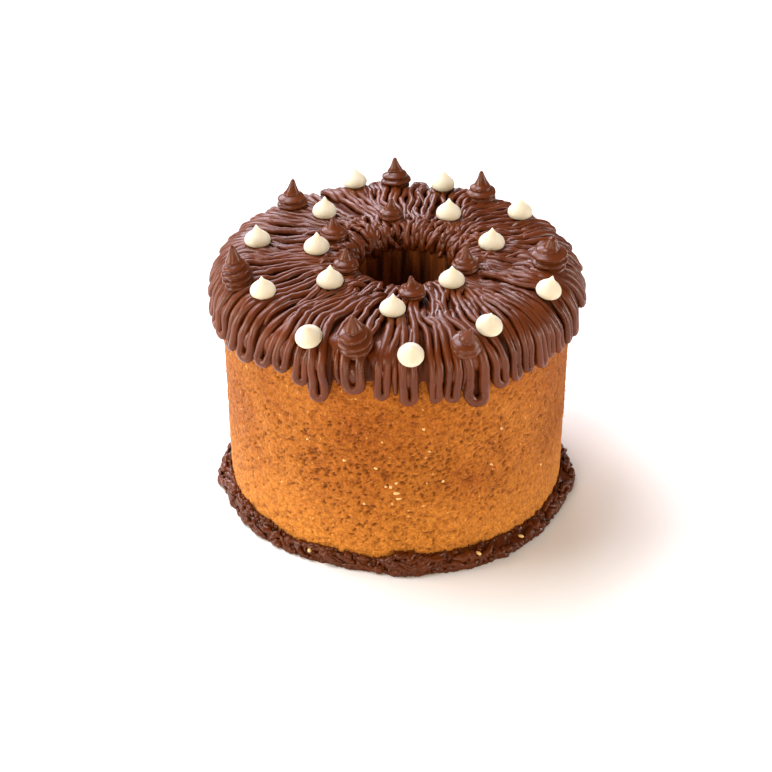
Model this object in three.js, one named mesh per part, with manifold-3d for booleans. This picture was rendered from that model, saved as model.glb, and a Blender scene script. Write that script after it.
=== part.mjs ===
// A mini ring cake: a plain baked sponge with a hole through it, a cap of chocolate icing piped in fine
// strands from the hole out over the edge and back in hanging loops, piped chocolate kisses, white chocolate
// drops, and a rough chocolate bead round the foot. Millimetres, +Z up, origin under the middle of the cake
// on the surface it stands on. Bearings run anticlockwise from +X, seen from above.
import * as THREE from "three";
import { mergeVertices } from "three/addons/utils/BufferGeometryUtils.js";
import Module from "manifold-3d";

const wasm = await Module();
wasm.setup();
const { degToRad, lerp, seededRandom, smoothstep } = THREE.MathUtils;

// Sponge
const CAKE_FOOT_RADIUS = 60;
const CAKE_TOP_RADIUS = 61;
const CAKE_HEIGHT = 87;
const SHOULDER_RADIUS = 9;
const FOOT_FILLET = 1;
const HOLE_RADIUS = 19.5;
const HOLE_EDGE_RADIUS = 3;
const HOLE_SHIFT = 3.3; // the hole sits off the middle, towards +X
const HOLE_SHIFT_ENDS = 50; // the radius where that shift has died out
const CAKE_COLUMNS = 64;
const SIDE_WAVE = 0.35; // how uneven the bare side is

// Icing
const LOOPS = 50; // hanging loops round the hem, each of two strands
const CREST = 4.5; // height of a strand's back above the sponge
const CREST_IN_HOLE = 3.3;
const GROOVE = 1.7; // depth of the groove between strands on the top
const GROOVE_AT_HEM = 2.3;
const GROOVE_IN_HOLE = 0.9;
const UNEVEN = 0.4; // how much a strand's height wanders
const HEM_DROP = 8.5; // how far a loop hangs below the shoulder
const HEM_DROP_VARIES = 3.5;
const NOTCH = 7; // height of the gap between two loops
const NOTCH_VARIES = 2;
const HOLE_DROP = 6; // how far the strands reach down inside the hole
const HOLE_DROP_VARIES = 2;
const CLEARANCE = 0.5; // between icing and sponge
const LOOP_SWAY = 0.11; // how far a loop wanders sideways, in loops

// Toppings, each at a radius and a bearing
const SEAT = 5.3; // height of the toppings' seats above the sponge
const DROP_DIAMETER = 8.9;
const DROP_HEIGHT = 7.2;
const DROPS = [
  { radius: 33.5, bearing: 8 },
  { radius: 52.3, bearing: 32 },
  { radius: 32.7, bearing: 55 },
  { radius: 53, bearing: 71 },
  { radius: 55, bearing: 106 },
  { radius: 38.2, bearing: 132 },
  { radius: 48.9, bearing: 172 },
  { radius: 27.7, bearing: 177 },
  { radius: 53.4, bearing: 213 },
  { radius: 31.8, bearing: 225 },
  { radius: 61.3, bearing: 242 },
  { radius: 41.3, bearing: 268 },
  { radius: 63, bearing: 274 },
  { radius: 58.5, bearing: 301 },
  { radius: 28.9, bearing: 310 },
  { radius: 57.8, bearing: 332 },
];
const OUTER_KISSES = [
  { radius: 55, bearing: 90, diameter: 11.5, height: 9.5, coils: 2 },
  { radius: 53, bearing: 54, diameter: 11.2, height: 9.8, coils: 2 },
  { radius: 53, bearing: -9, diameter: 12.8, height: 10.5, coils: 3 },
  { radius: 62, bearing: -69, diameter: 10.6, height: 9.5, coils: 2 },
  { radius: 60, bearing: -103, diameter: 12.3, height: 12.4, coils: 3 },
  { radius: 57, bearing: -161, diameter: 11, height: 13.5, coils: 3 },
  { radius: 52, bearing: 136, diameter: 11.4, height: 9.8, coils: 2 },
];
const INNER_KISSES = [
  { radius: 27, bearing: 94, diameter: 9, height: 7, coils: 2 },
  { radius: 25, bearing: 151, diameter: 10, height: 7.1, coils: 2 },
  { radius: 21, bearing: 214, diameter: 9.6, height: 7.7, coils: 2 },
  { radius: 30, bearing: -80, diameter: 9.6, height: 6.6, coils: 2 },
  { radius: 26, bearing: -26, diameter: 9.8, height: 8.4, coils: 2 },
];
const KISS_SKIRT = 9; // length of a kiss below its seat before it is trimmed to the icing
const DROP_SKIRT = 5; // the same for a drop
const KISS_SIDES = 11;
const DROP_SIDES = 10;

// Bead round the foot
const BEAD_WIDTH = 5.2;
const BEAD_HEIGHT = 5;
const BEAD_COLUMNS = 76;
const BEAD_CLEARANCE = 0.3;
const BEAD_LUMP = 0.9; // how uneven the bead is

const UP = new THREE.Vector3(0, 0, 1);
const WELD = 1e-4;
const SEED = 20;

// Keeps positions alone, joins the seams and drops triangles that have closed up.
function welded(geometry) {
  geometry.deleteAttribute("normal");
  geometry.deleteAttribute("uv");
  const joined = mergeVertices(geometry, WELD);
  const corners = joined.index.array;
  const kept = [];
  for (let i = 0; i < corners.length; i += 3) {
    const [a, b, c] = corners.subarray(i, i + 3);
    if (a !== b && b !== c && c !== a) kept.push(a, b, c);
  }
  joined.setIndex(kept);
  return joined;
}

// A ring with a closed section: a lathe whose every vertex is then set by place(row, column).
function ring(rows, columns, place) {
  const section = Array.from({ length: rows + 1 }, (_, row) => new THREE.Vector2(1 + row, row));
  const lathe = new THREE.LatheGeometry(section, columns);
  const position = lathe.getAttribute("position");
  for (let column = 0; column <= columns; column++) {
    for (let row = 0; row <= rows; row++) {
      const { x, y, z } = place(row % rows, column % columns);
      position.setXYZ(column * (rows + 1) + row, x, y, z);
    }
  }
  return welded(lathe);
}

function toSolid(geometry) {
  return new wasm.Manifold(
    new wasm.Mesh({
      numProp: 3,
      vertProperties: new Float32Array(geometry.getAttribute("position").array),
      triVerts: new Uint32Array(geometry.index.array),
    }),
  );
}

function toGeometry(solid) {
  const { vertProperties, triVerts } = solid.getMesh();
  return new THREE.BufferGeometry()
    .setAttribute("position", new THREE.BufferAttribute(vertProperties, 3))
    .setIndex(new THREE.BufferAttribute(triVerts, 1));
}

// A point at a radius and bearing, moved by the hole's shift, which dies out towards the rim.
function around(radius, bearing, z) {
  const shift = HOLE_SHIFT * (1 - smoothstep(radius, HOLE_RADIUS, HOLE_SHIFT_ENDS));
  return new THREE.Vector3(radius * Math.cos(bearing) + shift, radius * Math.sin(bearing), z);
}

const SHOULDER = { r: CAKE_TOP_RADIUS - SHOULDER_RADIUS, z: CAKE_HEIGHT - SHOULDER_RADIUS };
const HOLE_EDGE = { r: HOLE_RADIUS + HOLE_EDGE_RADIUS, z: CAKE_HEIGHT - HOLE_EDGE_RADIUS };

// A station is a foot on the sponge and the lean of the way out of it: 0 on the side, 90 degrees on the top,
// 180 in the hole.
function onShoulder(degrees) {
  const lean = degToRad(degrees);
  return {
    r: SHOULDER.r + SHOULDER_RADIUS * Math.cos(lean),
    z: SHOULDER.z + SHOULDER_RADIUS * Math.sin(lean),
    lean,
  };
}
function onHoleEdge(degrees) {
  const lean = degToRad(degrees);
  return {
    r: HOLE_EDGE.r + HOLE_EDGE_RADIUS * Math.cos(lean),
    z: HOLE_EDGE.z + HOLE_EDGE_RADIUS * Math.sin(lean),
    lean,
  };
}
function onTop(share) {
  return { r: lerp(HOLE_EDGE.r, SHOULDER.r, share), z: CAKE_HEIGHT, lean: Math.PI / 2 };
}
function onSide(z) {
  const r = lerp(CAKE_FOOT_RADIUS, CAKE_TOP_RADIUS, Math.min(1, z / SHOULDER.z));
  return { r, z, lean: 0 };
}
function inHole(z) {
  return { r: HOLE_RADIUS, z, lean: Math.PI };
}
function raised(station, lift) {
  return { r: station.r + lift * Math.cos(station.lean), z: station.z + lift * Math.sin(station.lean) };
}

function cakeGeometry() {
  const fillet = [0, 45, 90].map((degrees) => {
    const turn = degToRad(degrees);
    return {
      r: CAKE_FOOT_RADIUS - FOOT_FILLET * (1 - Math.sin(turn)),
      z: FOOT_FILLET * (1 - Math.cos(turn)),
    };
  });
  const section = [
    inHole(0),
    ...fillet,
    ...[0.25, 0.5, 0.75].map((share) => onSide(SHOULDER.z * share)),
    ...[0, 22.5, 45, 67.5, 90].map(onShoulder),
    ...[90, 135, 180].map(onHoleEdge),
  ];
  return ring(section.length, CAKE_COLUMNS, (row, column) => {
    const bearing = (column / CAKE_COLUMNS) * 2 * Math.PI;
    const { r, z } = section[row];
    const bare = smoothstep(z, FOOT_FILLET, 20) * (1 - smoothstep(z, 40, 60)) * (r > HOLE_EDGE.r ? 1 : 0);
    const wave = Math.sin(3 * bearing + z / 9) + 0.6 * Math.sin(7 * bearing - z / 6);
    return around(r + SIDE_WAVE * wave * bare, bearing, z);
  });
}

// Four columns to a loop: the gap before it, a strand's crest, the fold between its strands, the other crest.
const GAP_COLUMN = 0;
const FOLD_COLUMN = 2;
const COLUMN_AT = [0, 0.27, 0.5, 0.73];
const COLUMN_AT_HEM = [0, 0.16, 0.5, 0.84]; // the loops fatten where they hang

function icingGeometry() {
  seededRandom(SEED);
  const vary = (amount) => (2 * seededRandom() - 1) * amount;
  const loops = Array.from({ length: LOOPS }, () => ({
    hem: SHOULDER.z - HEM_DROP + vary(HEM_DROP_VARIES),
    notch: NOTCH + vary(NOTCH_VARIES),
    holeEnd: HOLE_EDGE.z - HOLE_DROP + vary(HOLE_DROP_VARIES),
    sway: vary(LOOP_SWAY),
    phase: vary(Math.PI),
    rise: vary(UNEVEN),
  }));
  const hemOf = (loop, part) => loop.hem + (part === GAP_COLUMN ? loop.notch : 0);

  // Outer stations, from the ragged end in the hole to the hem.
  const outer = [
    { at: (loop) => inHole(loop.holeEnd), round: 0.55 },
    { at: (loop) => inHole(lerp(loop.holeEnd, HOLE_EDGE.z, 0.5)) },
    ...[175, 135, 95].map((degrees) => ({ at: () => onHoleEdge(degrees) })),
    ...[0.3, 0.65].map((share) => ({ at: () => onTop(share) })),
    ...[90, 60, 30, 2].map((degrees) => ({ at: () => onShoulder(degrees) })),
    { at: (loop, part) => onSide(lerp(SHOULDER.z, hemOf(loop, part), 0.5)), fat: 0.7 },
    { at: (loop, part) => onSide(lerp(SHOULDER.z, hemOf(loop, part), 0.84)), fat: 1 },
    { at: (loop, part) => onSide(hemOf(loop, part)), fat: 0.3, round: 0.6, turn: true },
  ];
  // Inner stations follow the sponge back from the hem to the hole.
  const inner = [
    { at: (loop, part) => onSide(hemOf(loop, part) + CLEARANCE), perLoop: 2 },
    ...[0, 22.5, 45, 67.5, 90].map((degrees) => ({ at: () => onShoulder(degrees) })),
    ...[90, 135, 180].map((degrees) => ({ at: () => onHoleEdge(degrees) })),
    { at: (loop) => inHole(loop.holeEnd + CLEARANCE) },
  ];

  const outerPoint = (row, loop, number, part) => {
    const { at, fat = 0, round = 1, turn = false } = outer[row];
    const station = at(loop, part);
    const inTheHole = smoothstep(station.lean, Math.PI / 2, Math.PI);
    const atTheHem = 1 - smoothstep(station.lean, 0, Math.PI / 2);
    const crest = lerp(CREST, CREST_IN_HOLE, inTheHole) + loop.rise * Math.sin(row + loop.phase);
    const groove = lerp(lerp(GROOVE, GROOVE_AT_HEM, atTheHem), GROOVE_IN_HOLE, inTheHole);
    const sunk = part === GAP_COLUMN || (part === FOLD_COLUMN && !turn);
    const { r, z } = raised(station, (crest - (sunk ? groove : 0)) * round);
    const sway = loop.sway * Math.sin(row * 0.8 + loop.phase);
    const column = lerp(COLUMN_AT[part], COLUMN_AT_HEM[part], fat);
    return around(r, ((number + column + sway) / LOOPS) * 2 * Math.PI, z);
  };
  const innerPoint = (row, loop, number, part) => {
    const { at, perLoop = 1 } = inner[row];
    const column = perLoop === 2 && part === GAP_COLUMN ? GAP_COLUMN : FOLD_COLUMN;
    const { r, z } = raised(at(loop, column), CLEARANCE);
    return around(r, ((number + COLUMN_AT[column]) / LOOPS) * 2 * Math.PI, z);
  };
  return ring(outer.length + inner.length, LOOPS * COLUMN_AT.length, (row, column) => {
    const number = Math.floor(column / COLUMN_AT.length);
    const part = column % COLUMN_AT.length;
    const fromHole = outer.length + inner.length - 1 - row;
    return fromHole < outer.length
      ? outerPoint(fromHole, loops[number], number, part)
      : innerPoint(fromHole - outer.length, loops[number], number, part);
  });
}

function beadGeometry() {
  const inside = CAKE_FOOT_RADIUS + BEAD_CLEARANCE;
  const section = [
    { out: 0, up: 0, lump: 0 },
    { out: 0.75, up: 0, lump: 1 },
    { out: 1, up: 0.3, lump: 1 },
    { out: 0.9, up: 0.7, lump: 1 },
    { out: 0.5, up: 1, lump: 1 },
    { out: 0.07, up: 0.85, lump: 0 },
  ];
  return ring(section.length, BEAD_COLUMNS, (row, column) => {
    const bearing = (column / BEAD_COLUMNS) * 2 * Math.PI;
    const { out, up, lump } = section[row];
    const wave = Math.sin(9 * bearing) * 0.45 + Math.sin(23 * bearing + 2 * row) * 0.55;
    const rise = up > 0 ? up * BEAD_HEIGHT + lump * BEAD_LUMP * Math.sin(17 * bearing + row) * 0.6 : 0;
    return around(inside + out * BEAD_WIDTH + lump * BEAD_LUMP * wave * out, bearing, rise);
  });
}

// A lathe about +Z whose section starts and ends on the axis.
function turned(section, sides) {
  const points = section.map(([r, z]) => new THREE.Vector2(r, z));
  return welded(new THREE.LatheGeometry(points, sides).rotateX(Math.PI / 2));
}

function dropGeometry() {
  const radius = DROP_DIAMETER / 2;
  const section = [[0.86, 0], [1, 0.22], [0.72, 0.5], [0.27, 0.73], [0, 1]].map(
    ([out, up]) => [out * radius, up * DROP_HEIGHT],
  );
  return turned([[0, -DROP_SKIRT], [radius * 0.86, -DROP_SKIRT], ...section], DROP_SIDES);
}

// Coils of falling width under a pulled-up tip.
function kissGeometry({ diameter, height, coils }) {
  const radius = diameter / 2;
  const tipFoot = height * 0.62;
  const section = [[0, -KISS_SKIRT], [radius * 0.94, -KISS_SKIRT]];
  for (let coil = 0; coil < coils; coil++) {
    const width = radius * lerp(1, 0.42, coil / coils);
    section.push([width, (tipFoot * (coil + 0.45)) / coils]);
    section.push([width * 0.8, (tipFoot * (coil + 1)) / coils]);
  }
  section.push([radius * 0.17, height * 0.86], [0, height]);
  return turned(section, KISS_SIDES);
}

// The seat at a radius and bearing on the icing's top or shoulder, and how far its way out leans over.
function seat(radius, bearingDegrees) {
  const bearing = degToRad(bearingDegrees);
  const beyond = Math.max(0, radius - SHOULDER.r);
  const lean = Math.acos(Math.min(1, beyond / (SHOULDER_RADIUS + SEAT)));
  const z = SHOULDER.z + (SHOULDER_RADIUS + SEAT) * Math.sin(lean);
  return {
    position: new THREE.Vector3(radius * Math.cos(bearing), radius * Math.sin(bearing), z),
    out: new THREE.Vector3(
      Math.cos(lean) * Math.cos(bearing),
      Math.cos(lean) * Math.sin(bearing),
      Math.sin(lean),
    ),
  };
}

// The icing's outer bounds up to the toppings' seats, which the toppings are trimmed to.
function seatSolid() {
  const section = [
    inHole(HOLE_EDGE.z - HOLE_DROP),
    { r: HOLE_RADIUS, z: SHOULDER.z - HEM_DROP },
    onSide(SHOULDER.z - HEM_DROP),
    ...[0, 18, 36, 54, 72, 90].map(onShoulder),
    ...[90, 120, 150, 180].map(onHoleEdge),
  ].map((station) => (station.lean === undefined ? station : raised(station, SEAT)));
  return toSolid(
    ring(section.length, CAKE_COLUMNS, (row, column) => {
      const { r, z } = section[row];
      return around(r, (column / CAKE_COLUMNS) * 2 * Math.PI, z);
    }),
  );
}

const sponge = new THREE.MeshStandardMaterial({ color: 0xb8702c, roughness: 0.9, metalness: 0 });
const chocolate = new THREE.MeshStandardMaterial({ color: 0x4f2b1d, roughness: 0.45, metalness: 0 });
const softChocolate = new THREE.MeshStandardMaterial({ color: 0x452412, roughness: 0.3, metalness: 0 });
const pipedChocolate = new THREE.MeshStandardMaterial({ color: 0x542c18, roughness: 0.35, metalness: 0 });
const whiteChocolate = new THREE.MeshStandardMaterial({ color: 0xf6e8c4, roughness: 0.5, metalness: 0 });

function named(name, geometry, material) {
  const mesh = new THREE.Mesh(geometry, material);
  mesh.name = name;
  return mesh;
}

const cake = new THREE.Group();
cake.add(named("sponge", cakeGeometry(), sponge));
cake.add(named("icing", icingGeometry(), chocolate));
cake.add(named("foot_bead", beadGeometry(), softChocolate));

// Toppings stand half way between upright and square to the icing, and their feet follow it.
const seats = seatSolid();
function addTopping(name, geometry, { radius, bearing }, material) {
  const { position, out } = seat(radius, bearing);
  const lean = new THREE.Quaternion().setFromUnitVectors(UP, out.clone().add(UP).normalize());
  const whole = geometry.applyQuaternion(lean).translate(position.x, position.y, position.z);
  cake.add(named(name, toGeometry(toSolid(whole).subtract(seats)), material));
}
OUTER_KISSES.forEach((kiss, i) => {
  addTopping(`outer_kiss_${i + 1}`, kissGeometry(kiss), kiss, pipedChocolate);
});
INNER_KISSES.forEach((kiss, i) => {
  addTopping(`inner_kiss_${i + 1}`, kissGeometry(kiss), kiss, pipedChocolate);
});
DROPS.forEach((drop, i) => {
  addTopping(`white_drop_${String(i + 1).padStart(2, "0")}`, dropGeometry(), drop, whiteChocolate);
});

// The origin lies under the middle of the whole outline.
const middle = new THREE.Box3().setFromObject(cake, true).getCenter(new THREE.Vector3());
cake.position.set(-middle.x, -middle.y, 0);

export default cake;
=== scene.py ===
"""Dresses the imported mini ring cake: crumb, piped strands, kisses, drops and the bead round the foot.

Lengths are in millimetres, measured from the cake's axis on the surface it stands on. Only lights and
materials are in metres. Bearings run anticlockwise from +X, seen from above, and are listed in degrees.
Each piece is scaled and moved to the part's frame when it is finished.
"""

import math
import random

import bmesh
import bpy
from mathutils import Matrix, Vector, noise


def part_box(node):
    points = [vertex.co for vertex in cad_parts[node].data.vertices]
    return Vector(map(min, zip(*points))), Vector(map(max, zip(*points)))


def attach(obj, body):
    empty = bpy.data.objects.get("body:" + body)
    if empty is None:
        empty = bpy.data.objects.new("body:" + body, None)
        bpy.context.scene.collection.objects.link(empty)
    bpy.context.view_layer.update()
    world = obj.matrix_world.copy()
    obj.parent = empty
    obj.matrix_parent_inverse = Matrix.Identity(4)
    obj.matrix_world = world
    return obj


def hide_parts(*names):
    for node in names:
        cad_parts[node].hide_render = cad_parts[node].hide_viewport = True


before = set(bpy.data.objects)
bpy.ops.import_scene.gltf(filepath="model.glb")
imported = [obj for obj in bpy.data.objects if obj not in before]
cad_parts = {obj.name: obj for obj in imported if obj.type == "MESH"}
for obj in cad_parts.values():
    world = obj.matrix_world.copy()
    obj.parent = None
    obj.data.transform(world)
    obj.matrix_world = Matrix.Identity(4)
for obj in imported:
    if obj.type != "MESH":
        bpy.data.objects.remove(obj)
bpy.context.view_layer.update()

MM = 0.001
TURN = 2 * math.pi
UP = Vector((0, 0, 1))

# Sponge, as in the solids
FOOT_RADIUS = 60
TOP_RADIUS = 61
SPONGE_HEIGHT = 87
SHOULDER_ROUND = 9
HOLE_RADIUS = 19.5
HOLE_ROUND = 3
HOLE_SHIFT = 3.3
HOLE_SHIFT_ENDS = 50
SHOULDER_R = TOP_RADIUS - SHOULDER_ROUND
SHOULDER_Z = SPONGE_HEIGHT - SHOULDER_ROUND
HOLE_EDGE_R = HOLE_RADIUS + HOLE_ROUND
HOLE_EDGE_Z = SPONGE_HEIGHT - HOLE_ROUND

# Distances along the skin, from the top of the hole's wall
EDGE_END = HOLE_ROUND * math.pi / 2
TOP_END = EDGE_END + SHOULDER_R - HOLE_EDGE_R
SHOULDER_END = TOP_END + SHOULDER_ROUND * math.pi / 2

# Crumb
SPONGE_COLUMNS = 560
HOLE_WALL_TOP = 82
HOLE_WALL_STEP = 4
CRUMB_STEP = 0.64
GRAIN_DEPTH = 0.2
LUMP_DEPTH = 0.3
WAVE_DEPTH = 0.3
PIT_DEPTH = 0.8
# Middle and half height of the band where pores crowd
PORE_BAND_Z = 40
PORE_BAND_HALF = 22
# Crumbs on the side: their number, radius, and share of it below the side
LOOSE_CRUMBS = 240
LOOSE_CRUMB_SIZE = (0.25, 0.5)
CRUMB_SUNK = 0.3
PALE_CRUMB_SIZE = (0.6, 0.9)
# Bearing and height of the pale crumbs at the front
PALE_CRUMBS = [
    (-96.6, 41.7), (-93.5, 34.5), (-91.9, 34.5), (-90, 36), (-90.1, 31.7), (-89.1, 29.5), (-91.5, 27.5),
    (-100.4, 26.9), (-106.8, 43.6), (-58, 37.6), (-75, 35.4), (-81.5, 57.6), (-54.4, 50.9), (-33.3, 25),
]
# Bearings of the pale crumbs in the bead, and their radius
PALE_IN_BEAD = [-118.6, -47.4, -64]
PALE_BEAD_SIZE = 0.9

# Icing
# Bearing, hang below the shoulder, width and length of the slot, for the loops at the front
FRONT_LOOPS = [
    (-172, 6.8, 6.5, 3), (-164.5, 7.2, 7.2, 3), (-157, 6.4, 7, 3), (-150, 6.8, 7.3, 1),
    (-142, 6.6, 7.6, 0.5), (-133.5, 4.3, 7.2, 1.5), (-126.5, 3.5, 6.8, 0.5), (-119.5, 5.7, 6.2, 3.5),
    (-113.4, 10, 6.9, 7.5), (-102.4, 4.9, 8.6, 0), (-94.4, 6.6, 5.5, 5.5), (-86.5, 8.9, 6.7, 3),
    (-79, 8.1, 4.8, 1.5), (-74, 8.7, 5.6, 4.5), (-65.7, 12.4, 9, 9.5), (-58, 7.5, 6.6, 3),
    (-52, 7.4, 5.2, 1), (-47.4, 6.3, 4.9, 4), (-41.4, 7.4, 5.8, 4.5), (-37, 5.6, 4.8, 2),
    (-31.8, 6.6, 5.6, 3), (-26, 6.2, 5.8, 3), (-20.4, 6.7, 6.2, 2), (-13, 5.5, 6.8, 3),
    (-4.5, 4.5, 8, 4), (5.5, 4, 8.4, 5), (16, 3.5, 8.4, 5), (26, 4, 7.8, 4),
]
# Number of loops at the back, and the least and most of the same measures
BACK_LOOPS = 23
BACK_HANG = (3, 7)
BACK_WIDTH = (5.8, 6.8)
BACK_SLOT = (1, 6)
# Bearings where the left side ends and the right side starts
LEFT_SIDE = -157
RIGHT_SIDE = -18
# How far the loops stand off the sponge over the hem, least and most
BELLY = (2.7, 3.7)
BACK_BELLY = (2.2, 2.9)
LEFT_BELLY = (2.2, 2.8)
RIGHT_BELLY = (1.3, 2.0)
BELLY_LUMPS = 0.6
TURN_BULGE = 0.7
# How far the strands hang into the hole, least and most
HOLE_DROP = (-2, 3)
# First and last bearing, number, width and rise of the upper loops, which turn on the shoulder
UPPER_LOOPS = [(-10, 26, 5, 7.4, 0.5), (48, 140, 12, 5.4, -0.2), (147, 184, 7, 5.4, 0.35)]
# Half width of a strand on the top, least and most, and its share of the room it has
STRAND_ON_TOP = (1.1, 1.6)
STRAND_SHARE = 0.42
# Room for a strand below which one side of a loop stops short of the hole
STRAND_PITCH = 1.55
STRAND_FLATNESS = 0.95
STRAND_SIDES = 9
STRAND_STEP = 1.5
TURN_STEPS = 7
# Stands for an end where a strand has none near
NO_END = -20
# First numbers of the upper loops and loose strands, so that each wanders its own way
UPPER_NUMBERS = 100
LOOSE_NUMBERS = 200
# Sideways moves turn a strand no faster than at this radius
LEAST_RADIUS = 14
# Icing under the strands: its lift off the sponge, its lower edge and its ridges
CORE_LIFT = 2.0
CORE_LIFT_AT_HOLE = 0.8
CORE_LIFT_AT_HEM = 1.2
CORE_HEM = 75
CORE_HEM_TOP = 76.8
CORE_COLUMNS = 1200
RIDGES = 116
RIDGE_DEPTH = 1.3
# Strands between loops this many degrees apart, from where they have this much room
FILLER_GAP = 9.5
FILLER_ROOM = 5.6
FILLER_WIDTH = (0.95, 1.2)
# Short strands on the top and tangled ends round the hole: number, length and half width
WISPS = 70
WISP_LENGTH = (6, 22)
WISP_WIDTH = (0.75, 1.15)
TANGLES = 330
TANGLE_LENGTH = (2, 6)
TANGLE_WIDTH = (0.65, 1.15)
# Bearing, start and end of strands where the piping parts
EXTRA_STRANDS = [(-54.5, 12, 30), (-56, 16, 36), (-139, 24, 41), (-131, 27, 42), (-63, 22, 40)]
# Bearing and hang of the thin drips
DRIPS = [(-117.2, 9.6), (-107.5, 3.5), (-90.5, 5.5), (-69.8, 6)]
# Radius, bearing, half width and half length of the places where the icing has run together
SMEARS = [
    (57.5, -107, 6, 4.5), (62.5, -93.5, 6, 4.5), (57, -164, 6, 7), (60, -66, 4.5, 5), (55, -12, 7, 5),
    (52, 133, 6, 5),
]
SMEAR_HEIGHT = 1.8

# Toppings, as in the solids
SEAT = 5.3
PRESSED_IN = 0.9
DROP_DIAMETER = 8.9
DROP_HEIGHT = 7.2
DROP_SUNK = 0.8
DROP_SIDES = 32
# Radius and bearing of each drop
DROPS = [
    (33.5, 8), (52.3, 32), (32.7, 55), (53, 71), (55, 106), (38.2, 132), (48.9, 172), (27.7, 177),
    (53.4, 213), (31.8, 225), (61.3, 242), (41.3, 268), (63, 274), (58.5, 301), (28.9, 310),
    (57.8, 332),
]
# Share of the height and of the radius, from the foot to the tip
DROP_OUTLINE = [
    (0, 0.8), (0.05, 0.93), (0.16, 1), (0.27, 0.985), (0.39, 0.9), (0.5, 0.74), (0.6, 0.55),
    (0.69, 0.37), (0.77, 0.25), (0.85, 0.16), (0.93, 0.08), (1, 0),
]
# Share of the height and of the radius of a kiss, from its sunken foot to its tip
ROUND_KISS = [
    (-0.4, 0.6), (-0.15, 0.86), (0, 0.98), (0.06, 1), (0.17, 0.97), (0.28, 0.86), (0.37, 0.68),
    (0.46, 0.51), (0.58, 0.37), (0.7, 0.275), (0.8, 0.21), (0.9, 0.15), (0.97, 0.1), (1, 0),
]
TALL_KISS = [
    (-0.3, 0.7), (-0.1, 0.9), (0, 0.97), (0.1, 1), (0.24, 0.95), (0.4, 0.8), (0.52, 0.62),
    (0.64, 0.44), (0.74, 0.32), (0.84, 0.23), (0.93, 0.16), (0.98, 0.1), (1, 0),
]
BROAD_KISS = [
    (-0.4, 0.75), (0, 0.96), (0.15, 1), (0.38, 1), (0.48, 0.86), (0.55, 0.58), (0.62, 0.42),
    (0.72, 0.34), (0.84, 0.27), (0.93, 0.19), (0.98, 0.12), (1, 0),
]
# Radius, bearing, diameter, height, height of a turn, depth of the groove and outline of each kiss
OUTER_KISSES = [
    (55, 90, 11.5, 9.5, 2.4, 1.1, ROUND_KISS),
    (53, 54, 11.2, 9.8, 2.6, 1, ROUND_KISS),
    (53, -9, 12.8, 10.5, 2.8, 1.4, BROAD_KISS),
    (62, -69, 10.6, 9.5, 3.2, 1.3, ROUND_KISS),
    (60, -103, 12.3, 12.4, 2.9, 1.7, TALL_KISS),
    (57, -161, 11, 13.5, 2.45, 1.5, TALL_KISS),
    (52, 136, 11.4, 9.8, 2.4, 1.1, ROUND_KISS),
]
INNER_KISSES = [
    (27, 94, 9, 7, 1.9, 0.6, ROUND_KISS),
    (25, 151, 10, 7.1, 2, 0.6, ROUND_KISS),
    (21, 214, 9.6, 7.7, 1.9, 0.6, ROUND_KISS),
    (30, -80, 9.6, 6.6, 2, 0.6, ROUND_KISS),
    (26, -26, 9.8, 8.4, 1.9, 0.6, ROUND_KISS),
]
KISS_ROWS = 76
KISS_SIDES = 44
KISS_WEAR = 4

# Bearing, height against the side and width on the floor of the bead round the foot
BEAD_SHAPE = [
    (-174, 6, 4.8), (-165, 6.4, 3), (-156, 6.2, 2.6), (-140, 5.6, 3.2), (-124, 4.5, 2.8),
    (-110, 5.2, 2.2), (-95, 4.5, 2.8), (-89, 7, 5.4), (-80, 5.6, 4.8), (-62, 5.6, 5.4), (-46, 5, 5),
    (-30, 4.8, 3.8), (-16, 4.6, 3.4), (-8, 5, 5.4), (9, 4.4, 2.8), (40, 5, 4.2), (90, 5.4, 4),
    (140, 5, 4.4), (167, 4.6, 2.6),
]
# Share of the width and of the height, from the side along the floor and back over the top
BEAD_SECTION = [
    (0, 0), (0.3, 0), (0.65, 0), (0.9, 0), (1, 0.1), (1.04, 0.22), (1.02, 0.35), (0.95, 0.47),
    (0.85, 0.57), (0.73, 0.66), (0.6, 0.74), (0.47, 0.81), (0.34, 0.88), (0.22, 0.94), (0.1, 0.98),
    (0, 0.97), (0, 0.6),
]
# Gap to the sponge, and the section's size before it takes the bead's shape
BEAD_GAP = 0.3
ROLL_WIDTH = 4.5
ROLL_HEIGHT = 5
BEAD_COLUMNS = 900
# Licks along the bead, laid out at this radius, and crumbs and torn points on it
BEAD_LICKS = 210
LICK_RADIUS = 62
LICK_LENGTH = (2.5, 9)
LICK_SIZE = (0.7, 1.6)
LICK_STEPS = 14
LICK_SIDES = 8
BEAD_CRUMBS = 330
BEAD_CRUMB_SIZE = (0.35, 1.0)
BEAD_SPIKES = 230
SPIKE_HEIGHT = (1.0, 2.6)
SPIKE_RADIUS = (0.5, 0.95)
SPIKE_TIP = 0.15
SPIKE_SIDES = 6

# Photograph's view
VIEW_ELEVATION = 32.07
VIEW_DISTANCE = 750
VIEW_TARGET = (-3.6, 0, 36.7)
VIEW_LENS = 97.0

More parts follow.
